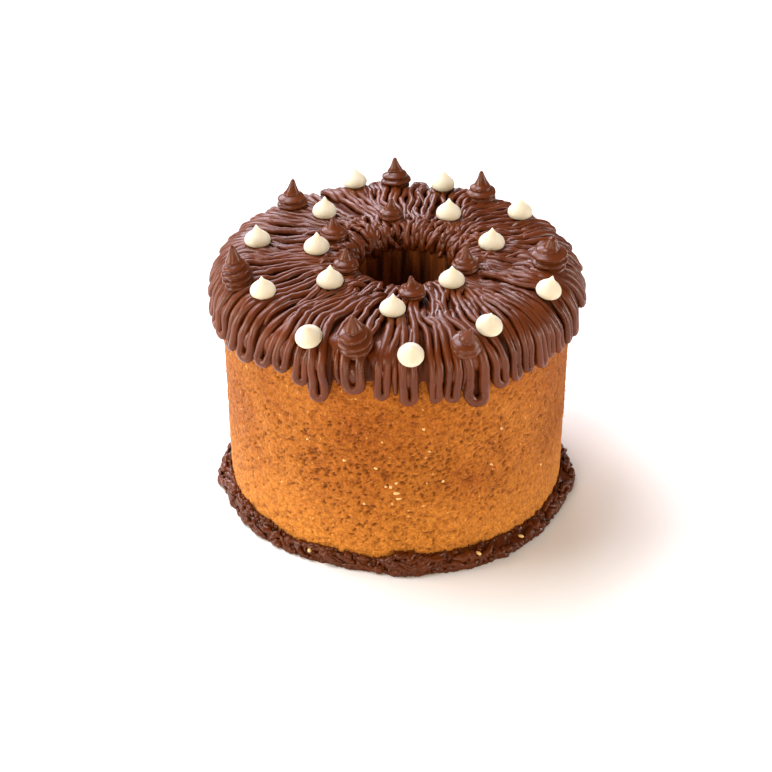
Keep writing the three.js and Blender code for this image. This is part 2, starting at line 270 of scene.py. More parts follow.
# Name, place, size, power and colour of the lights, and where they point
LIGHTS = [
    ("overhead", (-0.4, 0.3, 0.88), (0.6, 0.4), 5.8, (0.97, 0.96, 1)),
    ("zenith", (-0.35, 0.05, 0.95), (0.5, 0.5), 6, (0.9, 0.87, 1)),
    ("back", (-0.45, 0.97, 0.61), (1.1, 0.42), 14, (0.88, 0.86, 1)),
    ("left", (-0.95, -0.08, 0.32), (0.5, 0.5), 8.1, (0.95, 1, 0.95)),
    ("right", (0.96, -0.1, 0.26), (0.4, 0.4), 5.6, (1, 0.95, 0.88)),
    ("front_left", (-0.4, -0.9, 0.38), (0.3, 0.3), 3.3, (1, 0.88, 0.72)),
    ("front_right", (0.45, -0.9, 0.26), (0.28, 0.28), 1.9, (1, 0.88, 0.72)),
    ("low_front", (-0.1, -0.95, 0.14), (0.35, 0.12), 1.6, (1, 0.82, 0.6)),
]
LIGHT_TARGET = (0, 0, 0.05)
ROOM_COLOUR = (1, 0.95, 0.88, 1)
ROOM_STRENGTH = 0.22

low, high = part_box("sponge")
AXIS = Vector(((low.x + high.x) / 2, (low.y + high.y) / 2, 0))
TO_FRAME = Matrix.Translation(AXIS) @ Matrix.Scale(MM, 4)


def lerp(a, b, share):
    return a + (b - a) * share


def smoothstep(value, start, end):
    share = min(1, max(0, (value - start) / (end - start)))
    return share * share * (3 - 2 * share)


def ripple(x, y, z=0.0):
    """Smooth noise from about -1 to 1."""
    return noise.noise(Vector((x, y, z)))


def shares(count):
    """Even steps from 0 to 1."""
    return [i / count for i in range(count + 1)]


def arched(share, ends, power):
    """Rises from near 0 at a strand's start to 1 in its middle, and falls again."""
    return math.sin(math.pi * min(1 - ends, max(ends, share))) ** power


# Shapes

def around(radius, bearing, z):
    """A point at a radius and bearing, moved by the hole's shift, which dies out towards the rim."""
    shift = HOLE_SHIFT * (1 - smoothstep(radius, HOLE_RADIUS, HOLE_SHIFT_ENDS))
    return Vector((radius * math.cos(bearing) + shift, radius * math.sin(bearing), z))


def polar(point):
    """Radius, bearing and height of a point."""
    return math.hypot(point.x, point.y), math.atan2(point.y, point.x), point.z


def side_radius(z):
    return lerp(FOOT_RADIUS, TOP_RADIUS, min(1, z / SHOULDER_Z))


def skin(along, lift):
    """Radius, height and lean of the way out, at a distance along the sponge's skin and a lift off it."""
    if along < 0:
        return HOLE_RADIUS - lift, HOLE_EDGE_Z + along, math.pi
    if along < EDGE_END:
        lean = math.pi - along / HOLE_ROUND
        reach = HOLE_ROUND + lift
        return HOLE_EDGE_R + reach * math.cos(lean), HOLE_EDGE_Z + reach * math.sin(lean), lean
    if along < TOP_END:
        return HOLE_EDGE_R + along - EDGE_END, SPONGE_HEIGHT + lift, math.pi / 2
    if along < SHOULDER_END:
        lean = math.pi / 2 - (along - TOP_END) / SHOULDER_ROUND
        reach = SHOULDER_ROUND + lift
        return SHOULDER_R + reach * math.cos(lean), SHOULDER_Z + reach * math.sin(lean), lean
    z = SHOULDER_Z - (along - SHOULDER_END)
    return side_radius(z) + lift, z, 0.0


def on_skin(along, bearing, lift):
    """A point off the sponge's skin and the way out there."""
    radius, z, lean = skin(along, lift)
    out = Vector((math.cos(lean) * math.cos(bearing), math.cos(lean) * math.sin(bearing), math.sin(lean)))
    return around(radius, bearing, z), out


def draw_on(bm, rim):
    """Draws a rim of edges on by one step, and gives its new vertices and the new rim."""
    made = bmesh.ops.extrude_edge_only(bm, edges=rim)["geom"]
    verts = [item for item in made if isinstance(item, bmesh.types.BMVert)]
    edges = [item for item in made if isinstance(item, bmesh.types.BMEdge)]
    fresh = set(verts)
    return verts, [edge for edge in edges if edge.verts[0] in fresh and edge.verts[1] in fresh]


def sweep(stops, sides):
    """A strand: a circle drawn along stops of a point, its way out, a half width and a half height."""
    bm = bmesh.new()
    frames = []
    for i, (point, out, width, height) in enumerate(stops):
        before = stops[max(0, i - 1)][0]
        after = stops[min(len(stops) - 1, i + 1)][0]
        tangent = (after - before).normalized()
        side = tangent.cross(out).normalized()
        upright = side.cross(tangent)
        placed = Matrix((side * width, upright * height, tangent)).transposed().to_4x4()
        frames.append(Matrix.Translation(point) @ placed)
    ring = bmesh.ops.create_circle(bm, cap_ends=True, segments=sides, radius=1)["verts"]
    rim = list(bm.edges)
    bmesh.ops.transform(bm, matrix=frames[0], verts=ring)
    for last, placed in zip(frames, frames[1:]):
        verts, rim = draw_on(bm, rim)
        bmesh.ops.transform(bm, matrix=placed @ last.inverted(), verts=verts)
    bmesh.ops.contextual_create(bm, geom=rim)
    bmesh.ops.recalc_face_normals(bm, faces=bm.faces)
    return bm


def lathe(section, columns):
    """A ring with a closed section of radius and height, drawn round the axis."""
    bm = bmesh.new()
    radius, z = section[0]
    bmesh.ops.create_circle(bm, segments=columns, radius=radius, matrix=Matrix.Translation((0, 0, z)))
    first = list(bm.edges)
    rim = first
    for r, height in section[1:]:
        verts, rim = draw_on(bm, rim)
        bmesh.ops.scale(bm, vec=(r / radius, r / radius, 1), verts=verts)
        bmesh.ops.translate(bm, vec=(0, 0, height - z), verts=verts)
        radius, z = r, height
    bmesh.ops.bridge_loops(bm, edges=first + rim)
    bmesh.ops.recalc_face_normals(bm, faces=bm.faces)
    return bm


def spun(profile, steps):
    """A solid of revolution about +Z from a profile that starts and ends on the axis."""
    bm = bmesh.new()
    verts = [bm.verts.new((r, 0, z)) for r, z in profile]
    edges = [bm.edges.new(pair) for pair in zip(verts, verts[1:])]
    bmesh.ops.spin(bm, geom=verts + edges, cent=(0, 0, 0), axis=(0, 0, 1), angle=TURN, steps=steps,
                   use_merge=True, use_duplicate=False)
    bmesh.ops.remove_doubles(bm, verts=bm.verts, dist=1e-4)
    bmesh.ops.recalc_face_normals(bm, faces=bm.faces)
    return bm


def join(target, source):
    """Adds a finished shape to a piece that is made of many."""
    mesh = bpy.data.meshes.new("part")
    source.to_mesh(mesh)
    source.free()
    target.from_mesh(mesh)
    bpy.data.meshes.remove(mesh)


def move(bm, matrix):
    bmesh.ops.transform(bm, matrix=matrix, verts=bm.verts)


def add_object(bm, name, material):
    """An object with a shape's mesh and one material."""
    mesh = bpy.data.meshes.new(name)
    bm.to_mesh(mesh)
    bm.free()
    mesh.materials.append(material)
    made = bpy.data.objects.new(name, mesh)
    bpy.context.scene.collection.objects.link(made)
    return made


def finish_piece(bm, name, material, nodes=()):
    """Moves a shape to the part's frame and makes it a piece of the cake."""
    move(bm, TO_FRAME)
    piece = add_object(bm, name, material)
    piece.data.shade_smooth()
    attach(piece, "root")
    if nodes:
        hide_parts(*nodes)


# Materials

def set_values(node, values):
    for key, value in values.items():
        node.inputs[key].default_value = value


def new_material(name, roughness, specular):
    material = bpy.data.materials.new(name)
    material.use_nodes = True
    shader = material.node_tree.nodes["Principled BSDF"]
    set_values(shader, {"Roughness": roughness, "Specular IOR Level": specular})
    return material, material.node_tree, shader


def add_node(tree, kind, links=None, values=None, **settings):
    """A node with its settings, its socket values and its incoming links."""
    made = tree.nodes.new(kind)
    for key, value in settings.items():
        setattr(made, key, value)
    set_values(made, values or {})
    for key, socket in (links or {}).items():
        tree.links.new(socket, made.inputs[key])
    return made


def object_place(tree):
    return add_node(tree, "ShaderNodeTexCoord").outputs["Object"]


def noise_node(tree, place, scale, detail, roughness=0.55):
    made = add_node(tree, "ShaderNodeTexNoise", {"Vector": place},
                    {"Scale": scale, "Detail": detail, "Roughness": roughness})
    return made.outputs["Fac"]


def range_node(tree, value, start, end, low, high):
    made = add_node(tree, "ShaderNodeMapRange", {"Value": value},
                    {"From Min": start, "From Max": end, "To Min": low, "To Max": high})
    return made.outputs["Result"]


def attribute_node(tree, name):
    return add_node(tree, "ShaderNodeAttribute", attribute_name=name).outputs["Fac"]


def ramp_node(tree, factor, stops):
    made = add_node(tree, "ShaderNodeValToRGB", {"Fac": factor})
    elements = made.color_ramp.elements
    while len(elements) < len(stops):
        elements.new(0.5)
    for element, (position, colour) in zip(elements, stops):
        element.position = position
        element.color = (*colour, 1)
    return made.outputs["Color"]


def mix_node(tree, factor, first, second, blend="MIX"):
    made = add_node(tree, "ShaderNodeMix", data_type="RGBA", blend_type=blend)
    for index, value in ((0, factor), (6, first), (7, second)):
        if isinstance(value, bpy.types.NodeSocket):
            tree.links.new(value, made.inputs[index])
        else:
            made.inputs[index].default_value = value if index == 0 else (*value, 1)
    return made.outputs[2]


def bump(tree, shader, height, strength, distance):
    made = add_node(tree, "ShaderNodeBump", {"Height": height},
                    {"Strength": strength, "Distance": distance})
    tree.links.new(made.outputs["Normal"], shader.inputs["Normal"])


def sponge_material():
    material, tree, shader = new_material("golden_sponge", 0.85, 0.1)
    place = object_place(tree)
    broad = noise_node(tree, place, 40, 3)
    mottle = noise_node(tree, place, 560, 4, 0.7)
    fine = noise_node(tree, place, 1250, 3, 0.7)
    base = ramp_node(tree, broad, [
        (0.30, (0.292, 0.077, 0.0072)), (0.52, (0.342, 0.101, 0.0100)), (0.72, (0.396, 0.129, 0.0158))])
    # Painted bounce light: the crumb near the foot is made lighter, for light thrown up from below onto the
    # lowest part of the side.
    height = add_node(tree, "ShaderNodeSeparateXYZ", {"Vector": place})
    foot = range_node(tree, height.outputs["Z"], 0.004, 0.034, 0.8, 0.0)
    foot_bounce_lit = mix_node(tree, foot, base, (0.57, 0.205, 0.0265))
    patches = ramp_node(tree, mottle, [
        (0.34, (0.56, 0.47, 0.37)), (0.48, (0.97, 0.96, 0.95)), (0.66, (1.28, 1.36, 1.52))])
    mottled = mix_node(tree, 0.8, foot_bounce_lit, patches, "MULTIPLY")
    grain = ramp_node(tree, fine, [
        (0.34, (0.62, 0.54, 0.45)), (0.5, (1, 1, 1)), (0.66, (1.28, 1.36, 1.5))])
    grained = mix_node(tree, 0.8, mottled, grain, "MULTIPLY")
    spots = noise_node(tree, place, 620, 1)
    fleck = ramp_node(tree, spots, [(0.70, (0, 0, 0)), (0.80, (0.7, 0.7, 0.7))])
    flecked = mix_node(tree, fleck, grained, (0.74, 0.38, 0.11))
    # Painted shade: the pores are darkened for the shade that falls in them.
    pit = attribute_node(tree, "pit")
    pit_shaded = mix_node(tree, pit, flecked, (0.10, 0.024, 0.003))
    # The hole's wall: streaked crust, darkened with painted shade for the depth of the hole.
    crust_and_shade = attribute_node(tree, "crust_and_shade")
    stretch = add_node(tree, "ShaderNodeMapping", {"Vector": place}, {"Scale": (1, 1, 0.09)})
    streak = noise_node(tree, stretch.outputs["Vector"], 260, 2)
    shaded_streaks = ramp_node(tree, streak, [(0.35, (0.045, 0.010, 0.0014)), (0.65, (0.44, 0.124, 0.022))])
    hole_shaded = mix_node(tree, crust_and_shade, pit_shaded, shaded_streaks)
    tree.links.new(hole_shaded, shader.inputs["Base Color"])
    set_values(shader, {"Sheen Weight": 0.07, "Sheen Roughness": 0.5})
    bump(tree, shader, fine, 0.6, 0.0006)
    return material


def crumb_material():
    material, tree, shader = new_material("loose_crumb", 0.8, 0.25)
    pale = attribute_node(tree, "pale")
    place = object_place(tree)
    fine = noise_node(tree, place, 900, 3)
    base = ramp_node(tree, fine, [(0.35, (0.40, 0.110, 0.018)), (0.65, (0.60, 0.200, 0.040))])
    mixed = mix_node(tree, pale, base, (0.80, 0.52, 0.21))
    tree.links.new(mixed, shader.inputs["Base Color"])
    bump(tree, shader, fine, 0.4, 0.0004)
    return material


def chocolate_material(name, dark, light, roughness, specular, bump_depth):
    material, tree, shader = new_material(name, roughness, specular)
    place = object_place(tree)
    cloud = noise_node(tree, place, 90, 4)
    tone = ramp_node(tree, cloud, [(0.32, dark), (0.68, light)])
    tree.links.new(tone, shader.inputs["Base Color"])
    dull = range_node(tree, cloud, 0.3, 0.7, roughness - 0.06, roughness + 0.08)
    tree.links.new(dull, shader.inputs["Roughness"])
    skin_noise = noise_node(tree, place, 420, 3)
    bump(tree, shader, skin_noise, 0.35, bump_depth)
    return material


def white_drop_material():
    material, tree, shader = new_material("white_chocolate", 0.5, 0.25)
    place = object_place(tree)
    cloud = noise_node(tree, place, 160, 3)
    tone = ramp_node(tree, cloud, [(0.35, (0.615, 0.55, 0.42)), (0.65, (0.66, 0.60, 0.465))])
    tree.links.new(tone, shader.inputs["Base Color"])
    set_values(shader, {
        "Subsurface Weight": 0.85, "Subsurface Radius": (1.0, 0.9, 0.7), "Subsurface Scale": 0.005})
    return material


def floor_material():
    material, _, shader = new_material("pale_floor", 0.7, 0.2)
    set_values(shader, {"Base Color": (0.92, 0.89, 0.85, 1)})
    return material


# Sponge

def crumb(point, bare):
    """How far the crumb stands out of the side at a point, and how strongly its pit is darkened with
    painted shade.
    """
    x, y, z = point
    grain = ripple(x * 1.1, y * 1.1, z * 1.1) * GRAIN_DEPTH
    lumps = ripple(x * 0.38 + 40, y * 0.38, z * 0.38) * LUMP_DEPTH
    wave = ripple(x * 0.05 + 9, y * 0.05, z * 0.05) * WAVE_DEPTH
    band = math.exp(-((z - PORE_BAND_Z) / PORE_BAND_HALF) ** 2)
    crowd = 0.40 - 0.24 * ripple(x * 0.06, y * 0.06 + 142.8, z * 0.08) - 0.22 * band
    hollow = ripple(x * 0.75, y * 0.75 + 70, z * 1.3) + 0.5 * ripple(x * 1.5, y * 1.5 + 15, z * 2.2)
    pit = smoothstep(hollow, crowd + 0.12, crowd + 0.36)
    return (grain + lumps + wave - pit * PIT_DEPTH) * bare, pit * bare * 0.85


def arc(radius, z, size, degrees):
    """Points of radius and height on a round edge, at the listed leans."""
    leans = [math.radians(lean) for lean in degrees]
    return [(radius + size * math.cos(lean), z + size * math.sin(lean)) for lean in leans]


def make_sponge(material):
    side_rows = int((SHOULDER_Z - 1) / CRUMB_STEP)
    heights = [1 + i * CRUMB_STEP for i in range(side_rows + 1)]
    section = [(HOLE_RADIUS, 0), (FOOT_RADIUS - 1, 0), (FOOT_RADIUS - 0.3, 0.3)]
    section += [(side_radius(z), z) for z in heights]
    section += arc(SHOULDER_R, SHOULDER_Z, SHOULDER_ROUND, (10, 35, 60, 90))
    section += arc(HOLE_EDGE_R, HOLE_EDGE_Z, HOLE_ROUND, (90, 120, 150, 180))
    section += [(HOLE_RADIUS, z) for z in range(HOLE_WALL_TOP, 0, -HOLE_WALL_STEP)]
    bm = lathe(section, SPONGE_COLUMNS)
    pit_shade_layer = bm.verts.layers.float.new("pit")
    crust_and_shade_layer = bm.verts.layers.float.new("crust_and_shade")
    for vert in bm.verts:
        radius, bearing, z = polar(vert.co)
        if radius > SHOULDER_R and z < SHOULDER_Z + 2:
            # Each pit's strength is also kept for the painted shade in the pores.
            out, pit = crumb(vert.co, smoothstep(z, 0, 1.5))
            vert[pit_shade_layer] = pit
            radius += out
        # The hole's wall is marked for its streaked crust and the painted shade of the deep hole.
        if radius < HOLE_EDGE_R and z > 0:
            vert[crust_and_shade_layer] = 1
            radius += 0.7 * ripple(bearing * 5, z * 0.03, 3) + 0.3 * ripple(bearing * 15, z * 0.2)
        vert.co = around(radius, bearing, z)
    finish_piece(bm, "sponge_crumb", material, ["sponge"])


def crumb_spots(rng):
    """Place, size and paleness of the crumbs that cling to the side and to the bead."""
    spots = []
    for _ in range(LOOSE_CRUMBS):
        z = rng.choice((rng.uniform(5, 70), rng.uniform(20, 60)))
        pale = float(rng.random() < 0.08)
        size = rng.uniform(*LOOSE_CRUMB_SIZE) + 0.2 * pale
        radius = side_radius(z) - size * CRUMB_SUNK
        spots.append((around(radius, rng.uniform(0, TURN), z), size, pale))
    for bearing, z in PALE_CRUMBS:
        size = rng.uniform(*PALE_CRUMB_SIZE)
        radius = side_radius(z) - size * CRUMB_SUNK
        spots.append((around(radius, math.radians(bearing), z), size, 1.0))
    for bearing in PALE_IN_BEAD:
        point, out = bead_point(math.radians(bearing), 0.55)
        spots.append((point + out * PALE_BEAD_SIZE, PALE_BEAD_SIZE, 1.0))
    return spots


def make_loose_crumbs(material):
    rng = random.Random(11)
    piece = bmesh.new()
    piece.verts.layers.float.new("pale")
    for place, size, pale in crumb_spots(rng):
        grain = bmesh.new()
        grain_pale = grain.verts.layers.float.new("pale")
        bmesh.ops.create_icosphere(grain, subdivisions=1, radius=size)
        turn = Matrix.Rotation(rng.uniform(0, TURN), 4, "Z") @ Matrix.Rotation(rng.uniform(0, TURN), 4, "X")
        stretch = Matrix.Diagonal((rng.uniform(0.8, 1.8), rng.uniform(0.7, 1.1), rng.uniform(0.5, 0.9), 1))
        for vert in grain.verts:
            vert.co *= 1 + rng.uniform(-0.2, 0.2)
            vert[grain_pale] = pale
        move(grain, Matrix.Translation(place) @ turn @ stretch)
        join(piece, grain)
    finish_piece(piece, "sponge_loose_crumbs", material)


# Icing

def drift(bearing, along):
    """How far the piping wanders sideways, the same way for neighbours."""
    ring = Vector((math.cos(bearing) * 2.3, math.sin(bearing) * 2.3, along * 0.045))
    reach = 0.5 + 4.6 * smoothstep(along, 0, 12) * (1 - smoothstep(along, TOP_END - 4, SHOULDER_END + 4))
    return reach * noise.noise(ring) + 0.5 * reach * noise.noise(ring * 2.1)


def strand_point(along, bearing, offset, lift, number):
    """A point of a strand that is offset sideways from its bearing and wanders a little by itself."""
    radius = max(LEAST_RADIUS, skin(along, lift)[0])
    shake = 0.9 * ripple(along * 0.12, number * 3.1 + 50) + 0.6 * ripple(along * 0.33, number * 5.7)
    shake *= 1 - 0.65 * smoothstep(along, TOP_END - 10, TOP_END + 4)
    return on_skin(along, bearing + (offset + shake + drift(bearing, along)) / radius, lift)


def core_lift(along):
    """How far the icing under the strands stands off the sponge."""
    lift = lerp(CORE_LIFT_AT_HOLE, CORE_LIFT, smoothstep(along, 0, 7))
    return lerp(lift, CORE_LIFT_AT_HEM, smoothstep(along, TOP_END, SHOULDER_END))


def strand_lift(along, number):
    wave = 0.75 * ripple(along * 0.16, number * 9.1) + 0.4 * ripple(along * 0.4, number * 4.1)
    settled = smoothstep(along, TOP_END - 4, TOP_END + 5)
    loose = (0.3 + wave) * smoothstep(along, -3, 6) * (1 - 0.5 * settled)
    return core_lift(along) + 1.0 - 0.5 * settled + loose


def plan_loop(number, bearing, gap, hem, width, slot, belly, rise, ends, rng):
    """The measures of one loop of piping."""
    leg = 0.62 + 0.14 * width
    return {
        "number": number, "bearing": math.radians(bearing), "gap": gap, "hem": hem - leg, "leg": leg,
        "half": width / 2 - leg, "slot": slot, "ends": ends, "sway": rng.uniform(-1.5, 1.5),
        "belly": rng.uniform(*belly), "rise": rise, "tilt": rng.uniform(-0.5, 0.5)}


def plan_loops():
    """The loops of the main piping: the front ones as listed, the rest spread round the back."""
    rng = random.Random(5)
    listed = list(FRONT_LOOPS)
    last = listed[-1][0]
    step = (listed[0][0] + 360 - last) / (BACK_LOOPS + 1)
    for i in range(1, BACK_LOOPS + 1):
        bearing = last + (i + rng.uniform(-0.06, 0.06)) * step
        listed.append((bearing, rng.uniform(*BACK_HANG), rng.uniform(*BACK_WIDTH), rng.uniform(*BACK_SLOT)))
    loops = []
    for number, (bearing, hang, width, slot) in enumerate(listed):
        gap = math.radians((listed[(number + 1) % len(listed)][0] - bearing) % 360)
        crowded = EDGE_END + STRAND_PITCH * 2 / gap - HOLE_EDGE_R
        ends = [-rng.uniform(*HOLE_DROP), min(30, max(2, crowded + rng.uniform(-3, 3)))]
        rng.shuffle(ends)
        belly = BACK_BELLY
        if number < len(FRONT_LOOPS):
            belly = LEFT_BELLY if bearing < LEFT_SIDE else RIGHT_BELLY if bearing > RIGHT_SIDE else BELLY
        loops.append(plan_loop(number, bearing, gap, SHOULDER_END + hang, width, slot, belly, 0, ends, rng))
    return loops


def plan_upper_loops():
    """Loops over the main piping that turn back where the shoulder is the edge of the cake to the eye."""
    rng = random.Random(6)
    slant = math.tan(math.radians(90 - VIEW_ELEVATION))
    loops = []
    for first, last, count, width, rise in UPPER_LOOPS:
        for share in shares(count - 1):
            bearing = lerp(first, last, share) + rng.uniform(-1, 1)
            lean = max(0, math.atan(slant * math.sin(math.radians(bearing))))
            past = rng.uniform(0.8, 1.6) * (1 + max(0, rise))
            hem = TOP_END + (math.pi / 2 - lean) * SHOULDER_ROUND + past
            wide = width * rng.uniform(0.93, 1.07)
            gap = wide * 1.2 / SHOULDER_R
            ends = [rng.uniform(25, 32), rng.uniform(25, 32)]
            number = UPPER_NUMBERS + len(loops)
            loops.append(plan_loop(number, bearing, gap, hem, wide, 3, BACK_BELLY, rise, ends, rng))
    return loops


def loop_point(loop, along, offset, side, lower, twin):
    """A point of a loop, which swells out over the hem and leans a little on its way down."""
    hang = smoothstep(along, TOP_END, SHOULDER_END + 1)
    proud = loop["belly"] + loop["tilt"] * side
    lumps = BELLY_LUMPS * hang * ripple(loop["bearing"] * 45, along * 0.18, 5)
    bulge = TURN_BULGE * smoothstep(along, loop["hem"] - 4.5, loop["hem"] - 0.5)
    bulge += loop["rise"] * smoothstep(along, loop["hem"] - 12, loop["hem"] - 2)
    lift = lerp(strand_lift(along, twin), proud, hang) + lumps + bulge - lower
    lean = loop["sway"] * (1 - smoothstep(along, TOP_END, loop["hem"]))
    return strand_point(along, loop["bearing"], offset + lean, lift, twin)


def loop_stop(loop, along, offset, side, twin, end):
    """A stop of a loop's strand, which thins at its end, and sinks in if that lies on the top."""
    blunt = 1.2 if end < 2 else 3.5
    full = smoothstep(along, end - 0.4, end + blunt)
    sunk = 0 if end < 2 else 1.4 * (1 - full)
    point, out = loop_point(loop, along, offset, side, sunk, twin)
    pitch = loop["gap"] / 2 * skin(along, 0)[0]
    on_top = min(STRAND_ON_TOP[1], max(STRAND_ON_TOP[0], STRAND_SHARE * pitch))
    width = lerp(on_top, loop["leg"], smoothstep(along, TOP_END - 2, SHOULDER_END + 2))
    width *= (1 + 0.22 * ripple(along * 0.35, twin * 1.7)) * lerp(0.5, 1, full)
    return point, out, width, width * STRAND_FLATNESS


def loop_leg(loop, side, gap, end):
    """The stops of one side of a loop, from its end to its turn."""
    last = loop["hem"] - loop["half"]
    count = int((last - end) / STRAND_STEP)
    stops = []
    for share in shares(count):
        along = lerp(end, last, share)
        spread = gap / 4 * max(LEAST_RADIUS, skin(along, 3)[0])
        offset = lerp(spread, loop["half"], smoothstep(along, TOP_END - 8, TOP_END + 9))
        stops.append(loop_stop(loop, along, side * offset, side, loop["number"] * 2 + (side > 0), end))
    return stops


def loop_strand(loop, gap_before):
    """One strand from the hole over the rim, round its turn at the hem and back."""
    half = loop["half"]
    stops = loop_leg(loop, -1, gap_before, loop["ends"][0])
    for step in range(1, TURN_STEPS):
        share = step / TURN_STEPS
        turn = math.pi * step / TURN_STEPS
        side = -math.cos(turn)
        along = loop["hem"] - half + half * math.sin(turn)
        stops.append(loop_stop(loop, along, half * side, side, loop["number"] * 2 + share, NO_END))
    stops += loop_leg(loop, 1, loop["gap"], loop["ends"][1])[::-1]
    return sweep(stops, STRAND_SIDES)


def loop_filling(loop, rng):
    """Icing that joins the two sides of a loop, from the shoulder down to the slot above its turn."""
    start = SHOULDER_END - rng.uniform(4, 8)
    end = loop["hem"] - loop["slot"] - 0.6 * loop["half"]
    count = max(4, int((end - start) / STRAND_STEP) + 1)
    stops = []
    for share in shares(count):
        arch = arched(share, 0.05, 0.5)
        sunk = (0.6 if loop["slot"] else 0.2) + 1.1 * (1 - arch)
        point, out = loop_point(loop, lerp(start, end, share), 0, 0, sunk, loop["number"] * 2)
        stops.append((point, out, loop["half"] * (0.4 + 0.6 * arch), 1.5 * arch))
    return sweep(stops, STRAND_SIDES)


def make_loops(material, loops):
    """The main piping, and the loops over it."""
    rng = random.Random(21)
    piece = bmesh.new()
    for number, loop in enumerate(loops):
        join(piece, loop_strand(loop, loops[number - 1]["gap"]))
        join(piece, loop_filling(loop, rng))
    for loop in plan_upper_loops():
        join(piece, loop_strand(loop, loop["gap"]))
    finish_piece(piece, "icing_loops", material, ["icing"])


def loose_strand(number, bearing, start, end, slope, rise, wiggle, width):
    """A strand with sunken ends that lies over the main piping."""
    count = max(5, int((end - start) / (STRAND_STEP * 0.8)))
    stops = []
    for share in shares(count):
        along = lerp(start, end, share)
        arch = arched(share, 0.03, 0.6)
        lift = core_lift(along) - 0.1 + rise * arch + 0.25 * ripple(along * 0.3, number * 4.3)
        sideways = slope * (along - start) + wiggle * ripple(along * 0.3, number * 6.1 + 20)
        point, out = strand_point(along, bearing, sideways, lift, LOOSE_NUMBERS + number)
        size = width * (0.55 + 0.45 * arch) * (1 + 0.15 * ripple(along * 0.5, number * 2.9))
        stops.append((point, out, size, size * STRAND_FLATNESS))
    return sweep(stops, STRAND_SIDES - 1)


def plan_fillers(loops, rng):
    """Strands between loops that lie far apart: the measures that loose_strand takes."""
    plans = []
    for loop in loops:
        if loop["gap"] < math.radians(FILLER_GAP) or loop["bearing"] > math.radians(RIGHT_SIDE):
            continue
        apart = EDGE_END + FILLER_ROOM / loop["gap"] - HOLE_EDGE_R
        at_front = math.sin(loop["bearing"]) < -0.3
        for share in (0, 0.5):
            start = apart + rng.uniform(-5, 1)
            end = TOP_END + (rng.uniform(5, 10) if at_front else rng.uniform(-1, 2))
            plans.append((loop["bearing"] + loop["gap"] * share, start, end, rng.uniform(-0.05, 0.05),
                          rng.uniform(0.9, 1.4), 0.4, rng.uniform(*FILLER_WIDTH)))
    return plans


def plan_wisps(rng):
    """Short strands over the top, and tangled ends round the hole, more of them at its back."""
    plans = []
    for _ in range(WISPS):
        start = rng.uniform(3, TOP_END - 4)
        plans.append((rng.uniform(0, TURN), start, min(start + rng.uniform(*WISP_LENGTH), SHOULDER_END),
                      rng.uniform(-0.3, 0.3), rng.uniform(1.0, 2.3), 1.0, rng.uniform(*WISP_WIDTH)))
    for _ in range(TANGLES):
        bearing = rng.choice((rng.uniform(0, TURN), rng.uniform(0.2, 2.9)))
        start = rng.uniform(-1.5, 13)
        plans.append((bearing, start, start + rng.uniform(*TANGLE_LENGTH), rng.uniform(-1.4, 1.4),
                      rng.uniform(0.8, 2.5), 1.6, rng.uniform(*TANGLE_WIDTH)))
    return plans


def make_wisps(material, loops):
    """Strands where the piping parts, thin drips, short strands and tangled ends."""
    rng = random.Random(8)
    plans = plan_fillers(loops, rng)
    for bearing, start, end in EXTRA_STRANDS:
        plans.append((math.radians(bearing), start, end, 0, 1.2, 0.4, 1.1))
    for bearing, hang in DRIPS:
        plans.append((math.radians(bearing), SHOULDER_END - 8, SHOULDER_END + hang, 0, 1.6, 0.3, 1.0))
    plans += plan_wisps(rng)
    piece = bmesh.new()
    for number, plan in enumerate(plans):
        join(piece, loose_strand(number, *plan))
    finish_piece(piece, "icing_wisps", material)


def make_smears(material):
    """Places where the icing has run together into a smooth skin."""
    piece = bmesh.new()
    for number, (radius, bearing, wide, long) in enumerate(SMEARS):
        middle = EDGE_END + radius - HOLE_EDGE_R
        if radius > SHOULDER_R:
            middle = TOP_END + math.asin((radius - SHOULDER_R) / (SHOULDER_ROUND + SEAT)) * SHOULDER_ROUND
        patch = bmesh.new()
        bmesh.ops.create_uvsphere(patch, u_segments=32, v_segments=18, radius=1)
        for vert in patch.verts:
            x, y, z = vert.co
            edge = 1 + 0.3 * ripple(x * 1.3 + number * 9, y * 1.3)
            edge += 0.15 * ripple(x * 3.1, y * 3.1 + number * 9)
            rough = 0.25 * ripple(x * 1.6, y * 1.6, number * 3.3)
            lift = CORE_LIFT + (SMEAR_HEIGHT + rough) * z * abs(z) ** 0.4
            at = math.radians(bearing) + wide * edge * x / radius
            vert.co = on_skin(middle + long * edge * y, at, lift)[0]
        join(piece, patch)
    finish_piece(piece, "icing_smears", material)


def core_ridge(radius, bearing, z):
    """How far a ridge of the core, which runs as the strands do, stands out of it, and its lean."""
    lean, along = math.pi / 2, EDGE_END + radius - HOLE_EDGE_R
    if radius > SHOULDER_R:
        lean = math.atan2(z - SHOULDER_Z, radius - SHOULDER_R)
        along = TOP_END + (math.pi / 2 - lean) * SHOULDER_ROUND
    flow = bearing - drift(bearing, along) / radius
    phase = flow * RIDGES / 2 + 0.9 * ripple(flow * 9, along * 0.07, 7)
    fade = smoothstep(along, 2, 7) * (1 - smoothstep(along, SHOULDER_END - 5, SHOULDER_END))
    return RIDGE_DEPTH * fade * (abs(math.cos(phase)) - 0.6), lean


def core_section():
    """Radius and height round the core, out over the top to its hem and back along the sponge."""
    stops = [-0.6, 0, 0.8, 1.6, 3.2, 5, 7] + [9 + 2.5 * i for i in range(11)] + [37, 40, 43, 46]
    outer = [skin(along, core_lift(along))[:2] for along in stops]
    rim = TOP_RADIUS + CORE_LIFT_AT_HEM
    hem = [(rim, CORE_HEM + 1.5), (rim, CORE_HEM + 0.5), (TOP_RADIUS + 0.7, CORE_HEM)]
    inner = [skin(along, 0.35)[:2] for along in (47, 44, 41, 37.6, 34, 5, 2.4, 0.6)]
    return outer + hem + inner


